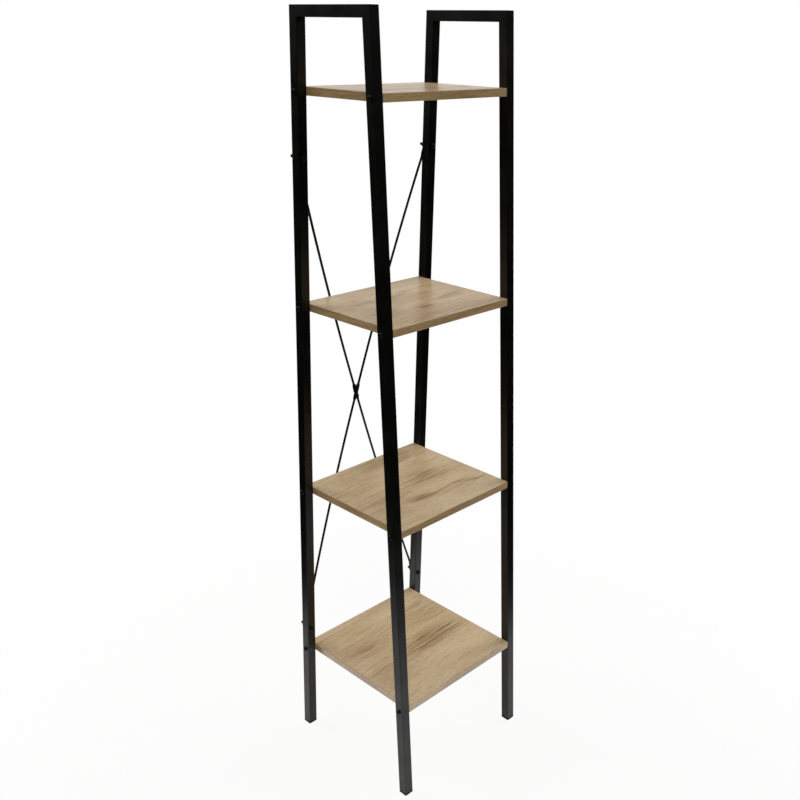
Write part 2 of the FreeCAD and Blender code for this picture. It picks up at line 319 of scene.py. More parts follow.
def sink(piece: Object, sides: int, radius: float, depth: float, top: float) -> None:
    """Cut a straight recess or bore into a finished piece, along its Z axis.

    Args:
        piece: Object in object mode.
        sides: How many sides the recess has.
        radius: Distance from the axis to its corners.
        depth: How deep it goes below its mouth.
        top: Height of its mouth.
    """
    cutter = begin(
        bpy.ops.mesh.primitive_cylinder_add, f"{piece.name}_cutter", vertices=sides, radius=radius,
        depth=2 * depth, location=(0.0, 0.0, top))
    close(cutter)
    bpy.context.view_layer.objects.active = piece
    apply_modifier(piece, "BOOLEAN", operation="DIFFERENCE", object=cutter, solver="EXACT")
    bpy.data.objects.remove(cutter)


def stand_for(piece: Object, node: str, slot: Slot, *materials: Material) -> None:
    """Dress a piece, and let it take the place of a CAD node and ride on its body.

    Args:
        piece: Finished piece.
        node: CAD node that it replaces.
        slot: Material slot of the record that its finish comes from. It is not used.
        materials: Finishes, in the order of the piece's own material slots.
    """
    for material in materials:
        piece.data.materials.append(material)
    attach(piece, BODY)
    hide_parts(node)
    LOG.info("%s stands for %s with %d faces", piece.name, node, len(piece.data.polygons))


def dress_node(node: str, material: Material) -> None:
    """Give a CAD node that stays in view its finish.

    Args:
        node: Name of the CAD node.
        material: Finish for all its faces.
    """
    for material_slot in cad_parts[node].material_slots:
        material_slot.material = material
    LOG.info("%s is dressed in %s", node, material.name)


@dataclass(frozen=True)
class Mottle:
    """Fine unevenness of a finish: the size of its spots, its finer layers and how strong those are."""

    size_mm: float
    detail: float
    strength: float = 0.5


@dataclass(frozen=True)
class EvenFinish:
    """Coated, plated or moulded surface, whose colour and gloss drift a little over a fine relief."""

    name: str
    colours: Stops
    roughness: Span
    drift: Mottle
    specular: float = 0.5
    metallic: float = 0.0
    relief: Mottle | None = None
    relief_depth: float = 0.0
    # Part of the drift over which the roughness changes.
    gloss_drift: Span = (0.3, 0.7)

    def material(self) -> Material:
        """Build the finish's material.

        Returns:
            The material.
        """
        material, tree = new_material(self.name)
        place = add_node(tree, "TexCoord", {}).outputs["Object"]
        drift, *relief = (
            add_node(tree, "TexNoise", {"Vector": place, "Scale": per_metre(mottle.size_mm),
                                        "Detail": mottle.detail, "Roughness": mottle.strength})
            for mottle in (self.drift, self.relief) if mottle)
        tone = add_node(tree, "ValToRGB", {"Fac": drift}, self.colours)
        low, high = self.roughness
        surface = {
            "Base Color": tone, "Roughness": low, "Specular IOR Level": self.specular,
            "Metallic": self.metallic}
        if low < high:
            first, last = self.gloss_drift
            surface["Roughness"] = add_node(
                tree, "MapRange",
                {"Value": drift, "From Min": first, "From Max": last, "To Min": low, "To Max": high})
        if relief:
            surface["Normal"] = add_node(tree, "Bump", {"Height": relief[0], "Distance": self.relief_depth})
        shader = add_node(tree, "BsdfPrincipled", surface)
        add_node(tree, "OutputMaterial", {"Surface": shader})
        return material


@dataclass(frozen=True)
class PowderCoat(EvenFinish):
    """Black powder coat, sprayed on and baked: deep black with a satin gloss and a faint orange peel."""

    name: str = "black_powder_coat_on_steel"
    colours: Stops = ((0.35, "#080907"), (0.75, "#0D0E0B"))
    roughness: Span = (0.34, 0.44)
    drift: Mottle = Mottle(60.0, 3.0)
    specular: float = 0.45
    # Real peel is about 1 mm across. It is drawn coarser so that it still shows from two metres.
    relief: Mottle | None = Mottle(2.2, 2.0, 0.4)
    relief_depth: float = 0.00004


@dataclass(frozen=True)
class BlackZinc(EvenFinish):
    """Black passivated zinc of the bolts and nuts: a dull film with fine tumbling marks."""

    name: str = "black_passivated_zinc_on_steel"
    colours: Stops = ((0.4, "#0B0B0C"), (0.7, "#131314"))
    roughness: Span = (0.46, 0.58)
    drift: Mottle = Mottle(0.6, 4.0, 0.6)
    specular: float = 0.25


@dataclass(frozen=True)
class ClearZinc(EvenFinish):
    """Clear zinc of the threaded inserts: bright metal with fine tumbling marks."""

    name: str = "clear_zinc_on_steel"
    colours: Stops = ((0.4, "#A9ABA8"), (0.7, "#C6C7C2"))
    roughness: Span = (0.28, 0.42)
    drift: Mottle = Mottle(0.6, 4.0, 0.6)
    metallic: float = 1.0


@dataclass(frozen=True)
class MouldedPlastic(EvenFinish):
    """Black polypropylene of the plug feet: matt, with the fine grain of a spark-eroded mould."""

    name: str = "black_moulded_polypropylene"
    colours: Stops = ((0.4, "#101010"), (0.8, "#1B1B1A"))
    roughness: Span = (0.58, 0.58)
    # Real mould grain is about 0.2 mm. It is drawn coarser so that it shows in a close view.
    drift: Mottle = Mottle(0.5, 3.0)
    specular: float = 0.25
    relief: Mottle | None = Mottle(0.5, 3.0)
    relief_depth: float = 0.00003


@dataclass(frozen=True)
class Layer:
    """Layer of the wood print: length and width of its marks along the grain, and the detail of its noise."""

    length_mm: float
    width_mm: float
    detail: float


@dataclass(frozen=True)
class Mark:
    """What a layer of the print becomes: the part of its range that counts, and the values that it gives."""

    layer: str
    counts: Span
    gives: Span


@dataclass(frozen=True)
class FlameOrShade:
    """Darker flame of heartwood in the print: its middle on the board, half sizes, turn and depth of tone.

    A depth under zero makes a paler streak of sapwood. One that covers the whole board is painted shade,
    which darkens that board evenly.
    """

    x: float
    y: float
    half_length: float
    half_width: float
    turn: float
    depth: float


# The first layer bends the others. Real pores are about 0.3 mm wide and are drawn coarser, so that they still
# show from two metres.
PRINT_LAYERS: dict[str, Layer] = {
    "bend": Layer(190.0, 60.0, 2.0),
    "tone": Layer(230.0, 60.0, 2.0),
    "streak": Layer(190.0, 13.0, 3.0),
    "patch": Layer(110.0, 45.0, 1.0),
    "fibre": Layer(110.0, 2.8, 4.0),
    "pore": Layer(18.0, 1.6, 2.0),
}

# Ring lines show in patches, flames follow the fibres, and the fibres change the gloss.
PRINT_MARKS: dict[str, Mark] = {
    "ring_lines": Mark("rings", (0.55, 1.0), (0.0, 1.0)),
    "ring_patches": Mark("patch", (0.4, 0.62), (0.01, 0.15)),
    "streaks": Mark("streak", (0.55, 0.72), (0.0, 0.12)),
    "flame_fibres": Mark("fibre", (0.35, 0.65), (1.35, 0.55)),
    "pores": Mark("pore", (0.52, 0.70), (0.0, 0.44)),
    "roughness": Mark("fibre", (0.3, 0.7), (0.34, 0.24)),
}

# Flames that the photograph shows on each board, from the lowest up, and painted shade over the whole of
# boards 3 and 4. The top board is seen almost edge on, so its flames are typical ones.
BOARD_FLAMES_AND_SHADE: dict[int, tuple[FlameOrShade, ...]] = {
    1: (FlameOrShade(0.030, -0.036, 0.095, 0.036, -0.03, 0.17), FlameOrShade(0.050, -0.034, 0.130, 0.056, 0.0, 0.16),
        FlameOrShade(0.112, -0.029, 0.055, 0.026, 0.0, 0.11), FlameOrShade(0.100, 0.085, 0.105, 0.090, 0.0, 0.15),
        FlameOrShade(-0.113, -0.039, 0.060, 0.030, 0.25, 0.05), FlameOrShade(-0.095, 0.047, 0.040, 0.024, 0.0, 0.05),
        FlameOrShade(-0.075, 0.085, 0.110, 0.080, 0.0, 0.08), FlameOrShade(0.020, -0.130, 0.200, 0.080, 0.0, -0.21)),
    2: (FlameOrShade(-0.023, -0.069, 0.046, 0.016, -0.15, 0.32), FlameOrShade(0.060, -0.079, 0.110, 0.020, -0.1, 0.14),
        FlameOrShade(0.098, -0.074, 0.055, 0.011, -0.36, 0.18), FlameOrShade(0.064, 0.025, 0.070, 0.070, 0.0, 0.12),
        FlameOrShade(0.070, 0.120, 0.110, 0.060, 0.0, 0.16), FlameOrShade(-0.060, 0.100, 0.100, 0.060, 0.0, 0.08),
        FlameOrShade(0.050, -0.128, 0.160, 0.050, -0.13, -0.19), FlameOrShade(-0.110, -0.040, 0.140, 0.110, 0.0, 0.06)),
    # On boards 3 and 4 the first entry covers the whole board. It is painted shade that darkens these upper
    # boards evenly, because more light falls on them than on the lower ones.
    3: (FlameOrShade(0.000, 0.000, 1.000, 1.000, 0.0, 0.09), FlameOrShade(0.100, -0.026, 0.065, 0.018, 0.12, 0.20),
        FlameOrShade(0.026, 0.048, 0.060, 0.016, 0.3, 0.14), FlameOrShade(-0.004, -0.052, 0.034, 0.022, 0.0, 0.16),
        FlameOrShade(-0.090, 0.050, 0.060, 0.030, 0.0, 0.09)),
    4: (FlameOrShade(0.000, 0.000, 1.000, 1.000, 0.0, 0.12), FlameOrShade(0.030, 0.030, 0.085, 0.014, 0.06, 0.26),
        FlameOrShade(-0.085, -0.040, 0.055, 0.010, 0.0, 0.2)),
}


@dataclass(frozen=True)
class OakPrint:
    """Oak-print melamine, pressed on particle board: flat-sawn figure, darker flames and embossed pores."""

    name: str = "oak_print_melamine"
    dark: str = "#7C6246"
    brown: str = "#A68A64"
    tan: str = "#C7AD88"
    pale: str = "#D6C09C"
    # Tones of the figure at which it has these four colours.
    tones: tuple[float, ...] = (0.22, 0.42, 0.60, 0.82)
    specular: float = 0.08
    lacquer: float = 0.0
    lacquer_roughness: float = 0.25
    noise_roughness: float = 0.55
    warp: float = 0.011
    ring_mm: float = 7.0
    ring_tilt: float = math.radians(4)
    ring_wander: float = 1.1
    ring_detail: float = 2.0
    ring_detail_scale: float = 0.35
    # The figure starts from this tone, and the broad tone and the fibres add their shares to it.
    least_tone: float = 0.15
    tone_share: float = 0.55
    fibre_share: float = 0.56
    # Flames fade over these shares of their half sizes and go right through the board.
    flame_fade: Span = (0.1, 1.15)
    flame_height: float = 1000.0
    pore_depth: float = 0.0001

    def _layers(self, tree: NodeTree, place: Node) -> tuple[dict[str, NodeSocket], Node]:
        """Add the noise of each layer and the growth rings, all bent alike.

        Args:
            tree: Node tree of the print.
            place: Node that gives the point on the board, turned to the grain.

        Returns:
            The layers by name, and the node that gives the bend.
        """
        layers = {}
        bent = place
        for name, layer in PRINT_LAYERS.items():
            width = per_metre(layer.width_mm)
            counted = add_node(
                tree, "VectorMath", {0: bent, 1: (per_metre(layer.length_mm), width, width)},
                operation="MULTIPLY")
            noise = add_node(
                tree, "TexNoise",
                {"Vector": counted, "Scale": 1.0, "Detail": layer.detail, "Roughness": self.noise_roughness})
            layers[name] = noise.outputs["Fac"]
            if name == "bend":
                centred = add_node(
                    tree, "VectorMath", {0: noise.outputs["Color"], 1: NOISE_TO_ZERO}, operation="ADD")
                bend = add_node(tree, "VectorMath", {0: centred, "Scale": self.warp}, operation="SCALE")
                bent = add_node(tree, "VectorMath", {0: place, 1: bend}, operation="ADD")
        # The board is sawn at a small angle through the rings, which makes arches along the grain.
        sawn = add_node(tree, "Mapping", {"Vector": bent, "Rotation": (0.0, self.ring_tilt, 0.0)})
        rings = add_node(
            tree, "TexWave",
            {"Vector": sawn, "Scale": RING_PERIOD * per_metre(self.ring_mm), "Distortion": self.ring_wander,
             "Detail": self.ring_detail, "Detail Scale": self.ring_detail_scale},
            wave_type="RINGS", rings_direction="X", wave_profile="SAW")
        layers["rings"] = rings.outputs["Fac"]
        return layers, bend

    def _flame_or_shade_tone(self, tree: NodeTree, flame_or_shade: FlameOrShade, place: Node, fibres: Node) -> Node:
        """Add the tone of one flame, or of painted shade over a whole board, which fades from its middle and
        follows the fibres.

        Args:
            tree: Node tree of the print.
            flame_or_shade: Flame, or painted shade over a whole board, to add.
            place: Node that gives the bent point on the board.
            fibres: Node that gives the fibres' share of the flame's tone.

        Returns:
            The node that gives the tone.
        """
        # Lengths are counted in half sizes of the flame.
        local = add_node(
            tree, "Mapping",
            {"Vector": place, "Location": (flame_or_shade.x, flame_or_shade.y, 0.0), "Rotation": (0.0, 0.0, flame_or_shade.turn),
             "Scale": (flame_or_shade.half_length, flame_or_shade.half_width, self.flame_height)},
            vector_type="TEXTURE")
        away = add_node(tree, "VectorMath", {0: local}, operation="LENGTH")
        near, far = self.flame_fade
        tone = add_node(
            tree, "MapRange",
            {"Value": away, "From Min": near, "From Max": far, "To Min": flame_or_shade.depth, "To Max": 0.0},
            interpolation_type="SMOOTHSTEP")
        return add_node(tree, "Math", {0: tone, 1: fibres}, operation="MULTIPLY")

    def material(self, grain: Grain, offset: Triple, flames_and_shade: tuple[FlameOrShade, ...] = ()) -> Material:
        """Build the print's material for one board.

        Args:
            grain: Direction that the grain runs in.
            offset: Shift of the pattern in metres, so that no two boards match.
            flames_and_shade: Flames at their own places on the board, and painted shade where one covers the
                whole board.

        Returns:
            The material.
        """
        material, tree = new_material(self.name)
        origin = add_node(tree, "TexCoord", {}).outputs["Object"]
        place = add_node(
            tree, "Mapping", {"Vector": origin, "Location": offset, "Rotation": (0.0, 0.0, grain.value)})
        layers, bend = self._layers(tree, place)
        marks = {}
        for name, mark in PRINT_MARKS.items():
            marks[name] = add_node(
                tree, "MapRange",
                {"Value": layers[mark.layer], "From Min": mark.counts[0], "From Max": mark.counts[1],
                 "To Min": mark.gives[0], "To Max": mark.gives[1]})
        rings = {0: marks["ring_lines"], 1: marks["ring_patches"]}
        darker = [add_node(tree, "Math", rings, operation="MULTIPLY"), marks["streaks"]]
        drifted = add_node(tree, "VectorMath", {0: origin, 1: bend}, operation="ADD")
        # Flames and streaks of the print, and painted shade where one covers the whole board.
        darker += [self._flame_or_shade_tone(tree, flame_or_shade, drifted, marks["flame_fibres"]) for flame_or_shade in flames_and_shade]
        figure = self.least_tone
        for layer, share in (("tone", self.tone_share), ("fibre", self.fibre_share)):
            figure = add_node(
                tree, "Math", {0: layers[layer], 1: share, 2: figure}, operation="MULTIPLY_ADD")
        for tone in darker:
            figure = add_node(tree, "Math", {0: figure, 1: tone}, operation="SUBTRACT")
        wood = add_node(
            tree, "ValToRGB", {"Fac": figure},
            tuple(zip(self.tones, (self.dark, self.brown, self.tan, self.pale))))
        colour = add_node(
            tree, "Mix", {"Factor": marks["pores"], "A": wood, "B": linear(self.dark)}, data_type="RGBA")
        bump = add_node(tree, "Bump", {"Height": marks["pores"], "Distance": self.pore_depth}, invert=True)
        shader = add_node(
            tree, "BsdfPrincipled",
            {"Base Color": colour, "Roughness": marks["roughness"], "Normal": bump,
             "Specular IOR Level": self.specular, "Coat Weight": self.lacquer,
             "Coat Roughness": self.lacquer_roughness})
        add_node(tree, "OutputMaterial", {"Surface": shader})
        return material


@dataclass(frozen=True)
class BandPrint(OakPrint):
    """Oak print on the plastic edge bands: browner than the boards, under a glossy lacquer. Its colours are
    also darker than the boards' as painted shade, for edges that get less light than the tops.
    """

    name: str = "oak_print_edge_band"
    # Darker than the board's colours: partly the band's own browner print, partly painted shade on the edges.
    dark: str = "#6A5033"
    brown: str = "#9C7C50"
    tan: str = "#B89869"
    pale: str = "#CCAC7D"
    specular: float = 0.85
    lacquer: float = 0.9


@dataclass
class SideFrame:
    """Side frame: a front and a rear leg and a level top bar of square tube, welded at the mitres."""

    side: Side
    # The legs' outline in the photograph is that of a tube with tight corners.
    corner_radius: float = 0.001
    corner_steps: int = 5
    mitre_bevel: float = 0.0004
    pieces: dict[str, Object] = field(default_factory=dict)

    def __post_init__(self) -> None:
        """Take the frame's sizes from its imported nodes."""
        self.name = self.side.name.lower()
        bar_low, bar_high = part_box(f"{self.name}_top_bar")
        leg_low, leg_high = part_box(f"{self.name}_rear_leg")
        self.x = (bar_low.x + bar_high.x) / 2
        self.tube = bar_high.z - bar_low.z
        self.height = bar_high.z
        self.foot_height = leg_low.z
        self.top_reach = bar_high.y
        self.foot_reach = leg_high.y
        self.mitre_reach = leg_low.y
        self.lean = math.atan2(self.foot_reach - self.top_reach, self.height - self.foot_height)

    def _member(
            self, node: str, length: float, place: Matrix, cuts: tuple[tuple[Vector, Vector], ...]) -> None:
        """Model one member: a tube with rounded long edges, laid in its place, sawn off and eased there.

        Args:
            node: CAD node that the member stands for.
            length: Length of the tube before it is cut.
            place: Where its middle and its own axes go. It is drawn along Z.
            cuts: Point on the plane of each cut, and the direction of the part that is taken away.
        """
        tube = begin(
            bpy.ops.mesh.primitive_cube_add, f"{node}_tube", size=1, scale=(self.tube, self.tube, length))
        round_edges(tube, self.corner_radius, self.corner_steps, lambda edge: rise(edge) > self.tube)
        settle(tube, place)
        bpy.ops.object.mode_set(mode="EDIT")
        for point, outward in cuts:
            bpy.ops.mesh.select_all(action="SELECT")
            bpy.ops.mesh.bisect(plane_co=point, plane_no=outward, use_fill=True, clear_outer=True)
            round_edges(
                tube, self.mitre_bevel, EASE_STEPS,
                lambda edge: all(abs((vert.co - point).dot(outward)) < TOUCH for vert in edge.verts))
        self.pieces[node] = close(tube)

    def _mitre(self, end: End) -> tuple[Vector, Vector]:
        """Plane of the mitre at one end of the top bar.

        Args:
            end: Front or rear.

        Returns:
            A point on the plane, and its normal out of the bar.
        """
        outer = Vector((self.x, end.value * self.top_reach, self.height))
        inner = Vector((self.x, end.value * self.mitre_reach, self.height - self.tube))
        along = outer - inner
        normal = Vector((0.0, end.value * along.z, -abs(along.y)))
        return outer, normal.normalized()

    def build(self) -> None:
        """Model the two legs, which lean to the middle and are level at the foot, and the mitred bar."""
        leg_length = self.height / math.cos(self.lean) + 2 * self.tube
        leg_reach = (self.foot_reach + self.top_reach) / 2 - self.tube / 2 / math.cos(self.lean)
        mitres = {end: self._mitre(end) for end in End}
        for end, (point, normal) in mitres.items():
            centre = Vector((self.x, end.value * leg_reach, (self.foot_height + self.height) / 2))
            foot = Vector((self.x, centre.y, self.foot_height))
            self._member(
                f"{self.name}_{end.name.lower()}_leg", leg_length,
                Matrix.Translation(centre) @ Matrix.Rotation(end.value * self.lean, 4, "X"),
                ((foot, Vector((0.0, 0.0, -1.0))), (point, -normal)))
        centre = Vector((self.x, 0.0, self.height - self.tube / 2))
        self._member(
            f"{self.name}_top_bar", 2 * (self.top_reach + self.tube),
            Matrix.Translation(centre) @ Matrix.Rotation(math.pi / 2, 4, "X"), tuple(mitres.values()))

    def dress(self, coat: Material, foot: Material) -> None:
        """Coat the tubes and the feet.

        Args:
            coat: Finish of the tubes.
            foot: Finish of the plug feet.
        """
        for node, piece in self.pieces.items():
            stand_for(piece, node, Slot.POWDER_COAT, coat)
        for end in End:
            dress_node(f"{self.name}_{end.name.lower()}_foot", foot)


@dataclass
class Shelf:
    """One board: a melamine-faced panel with a band strip on each edge, four bolts and their inserts."""

    level: int
    panel_ease: float = 0.0002
    band_thickness: float = 0.001
    band_seam: float = 0.0001
    band_radius: float = 0.0007
    band_steps: int = 4
    # Where the print starts on the roll, and how far the next board is cut from it.
    print_start: Triple = (0.0, 0.0, 0.05)
    print_step: Triple = (0.37, 0.211, 0.013)

    def __post_init__(self) -> None:
        """Take the board's outer size from its packed band."""
        low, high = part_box(f"shelf_edge_band_{self.level}")
        self.size = high - low
        self.centre = (high + low) / 2

    def _panel(self) -> Object:
        """Model the panel, with its faces eased where the bands meet them.

        Returns:
            The finished panel.
        """
        inset = 2 * self.band_thickness
        panel = begin(
            bpy.ops.mesh.primitive_cube_add, f"shelf_board_{self.level}_panel", size=1,
            location=self.centre, scale=(self.size.x - inset, self.size.y - inset, self.size.z))
        round_edges(panel, self.panel_ease, EASE_STEPS, lambda edge: rise(edge) < TOUCH)
        return close(panel)

    def _outer_edge(self, edge: BMEdge) -> bool:
        """Say whether an edge of a strip faces out of the board and isn't one of its seams.

        Args:
            edge: Edge of a band strip.

        Returns:
            True for an outer edge.
        """
        points = [vert.co - self.centre for vert in edge.verts]
        at_end = all(abs(abs(point.x) - self.size.x / 2) < TOUCH for point in points)
        at_side = all(abs(abs(point.y) - self.size.y / 2) < TOUCH for point in points)
        return at_end or (at_side and rise(edge) < TOUCH)

    def _bands(self) -> Object:
        """Model the four strips, rounded where they face out, with the end strips as their second material.

        Returns:
            The finished strips, as one piece.
        """
        core_x = self.size.x / 2 - self.band_thickness
        end_x = core_x + self.band_thickness / 2
        long_y = self.size.y / 2 - self.band_thickness / 2
        end_size = (self.band_thickness, self.size.y, self.size.z)
        long_size = (2 * (core_x - self.band_seam), self.band_thickness, self.size.z)
        bands = begin(
            bpy.ops.mesh.primitive_cube_add, f"shelf_board_{self.level}_bands", size=1,
            location=self.centre - Vector((end_x, 0.0, 0.0)), scale=end_size)
        for x, y, size in ((end_x, 0.0, end_size), (0.0, -long_y, long_size), (0.0, long_y, long_size)):
            bpy.ops.mesh.primitive_cube_add(size=1, location=self.centre + Vector((x, y, 0.0)), scale=size)
        round_edges(bands, self.band_radius, self.band_steps, self._outer_edge)
        close(bands)
        for polygon in bands.data.polygons:
            away = abs(polygon.center.x - self.centre.x)
            polygon.material_index = int(away > core_x - self.band_seam / 2)
        return bands

    def build(self) -> None:
        """Model the panel and its bands."""
        self.panel = self._panel()
        self.bands = self._bands()

    def dress(self, face: OakPrint, band: OakPrint, bolt: Material, insert: Material) -> None:
        """Print the board and its bands and finish its fasteners.

        Args:
            face: Print on the panel.
            band: Print on the strips.
            bolt: Finish of the bolts.
            insert: Finish of the threaded inserts.
        """
        offset = tuple(start + step * self.level for start, step in zip(self.print_start, self.print_step))
        stand_for(
            self.panel, f"shelf_board_{self.level}", Slot.BOARD,
            face.material(Grain.ALONG_X, offset, BOARD_FLAMES_AND_SHADE[self.level]))
        stand_for(
            self.bands, f"shelf_edge_band_{self.level}", Slot.BAND,
            *(band.material(grain, offset) for grain in Grain))
        dress_node(f"shelf_bolts_{self.level}", bolt)
        dress_node(f"shelf_insert_nuts_{self.level}", insert)


@dataclass(frozen=True)
class BoltSize:
    """Sizes of a round-headed socket bolt."""

    radius: float
    pitch: float
    thread_depth: float
    head_radius: float
    head_height: float
    dome: float
    socket_across_flats: float
    socket_depth: float


M6 = BoltSize(
    radius=0.003, pitch=0.001, thread_depth=0.0006, head_radius=0.00525, head_height=0.0033, dome=0.0022,
    socket_across_flats=0.004, socket_depth=0.002)
M4 = BoltSize(
    radius=0.002, pitch=0.0007, thread_depth=0.0004, head_radius=0.0035, head_height=0.002, dome=0.0014,
    socket_across_flats=0.0025, socket_depth=0.0012)


@dataclass
class RoundHeadBolt:
    """Round-headed socket bolt with a cut thread on its tip, along -Z, with the head's seat at the origin."""

    name: str
    size: BoltSize
    length: float
    thread_length: float
    sides: int = 32
    dome_steps: int = 6
    turn_steps: int = 24
    # The thread's ridge takes this share of the pitch and is sunk into the core by this share of its depth.
    ridge_share: float = 0.9
    sunk_share: float = 0.2

    def _head(self) -> Object:
        """Model the domed head and sink the hexagon socket.

        Returns:
            The finished head.
        """
        size = self.size
        middle = size.head_height / 2
        head = begin(
            bpy.ops.mesh.primitive_cylinder_add, f"{self.name}_head", vertices=self.sides,
            radius=size.head_radius, depth=size.head_height, location=(0.0, 0.0, middle))
        round_edges(
            head, size.dome, self.dome_steps, lambda edge: all(vert.co.z > middle for vert in edge.verts))
        close(head)
        sink(head, HEXAGON, HEXAGON_CORNER * size.socket_across_flats, size.socket_depth, size.head_height)
        return head

    def _core(self) -> Object:
        """Model the shank, turned down to the thread's root and chamfered at the tip.

        Returns:
            The finished core.
        """
        size = self.size
        core = begin(
            bpy.ops.mesh.primitive_cylinder_add, f"{self.name}_core", vertices=self.sides,
            radius=size.radius, depth=self.length, location=(0.0, 0.0, -self.length / 2))
        neck = self.thread_length - self.length
        for height in (neck, neck - size.thread_depth):
            bpy.ops.mesh.select_all(action="SELECT")
            bpy.ops.mesh.bisect(plane_co=(0.0, 0.0, height), plane_no=(0.0, 0.0, 1.0))
        pick(core, Element.VERT, lambda vert: vert.co.z < neck - TOUCH)
        share = (size.radius - size.thread_depth) / size.radius
        bpy.ops.transform.resize(value=(share, share, 1.0), center_override=(0.0, 0.0, 0.0))
        round_edges(
            core, size.thread_depth / 2, EASE_STEPS,
            lambda edge: all(vert.co.z < TOUCH - self.length for vert in edge.verts))
        return close(core)

    def _thread(self) -> Object:
        """Wind a ridge of triangular section round the tip.

        Returns:
            The finished ridge.
        """
        size = self.size
        root = size.radius - (1 + self.sunk_share) * size.thread_depth
        ridge_width = self.ridge_share * size.pitch
        ridge = begin(
            bpy.ops.mesh.primitive_circle_add, f"{self.name}_thread", vertices=3, radius=size.thread_depth,
            rotation=(math.pi / 2, 0.0, 0.0))
        corners = ((root, 0.0), (size.radius, ridge_width / 2), (root, ridge_width))
        base = size.pitch / 2 - self.length
        mesh = bmesh.from_edit_mesh(ridge.data)
        for vert, (radius, height) in zip(mesh.verts, corners):
            vert.co = (radius, 0.0, base + height)
        bmesh.update_edit_mesh(ridge.data)
        bpy.ops.object.mode_set(mode="OBJECT")
        turns = int((self.thread_length - 2 * size.pitch) / size.pitch)
        apply_modifier(
            ridge, "SCREW", axis="Z", angle=math.tau, screw_offset=size.pitch, iterations=turns,
            steps=self.turn_steps, render_steps=self.turn_steps, use_merge_vertices=False)
        bpy.ops.object.mode_set(mode="EDIT")
        pick(ridge, Element.EDGE, lambda edge: edge.is_boundary)
        bpy.ops.mesh.fill()
        return close(ridge)

    def build(self) -> Object:
        """Model the whole bolt as one object."""
        return join([self._head(), self._core(), self._thread()], self.name)


@dataclass
class HexNut:
    """Hexagon nut with eased faces, built along -Z with its seat at the origin."""

    name: str
    across_flats: float
    height: float
    bore_radius: float
    ease: float = 0.0003
    bore_sides: int = 32

    def build(self) -> Object:
        """Model the nut and bore it for the bolt.

        Returns:
            The finished nut.
        """
        nut = begin(
            bpy.ops.mesh.primitive_cylinder_add, self.name, vertices=HEXAGON,
            radius=HEXAGON_CORNER * self.across_flats, depth=self.height,
            location=(0.0, 0.0, -self.height / 2))
        round_edges(nut, self.ease, EASE_STEPS, lambda edge: rise(edge) < TOUCH)
        close(nut)
        sink(nut, self.bore_sides, self.bore_radius, 2 * self.height, 0.0)
        return nut


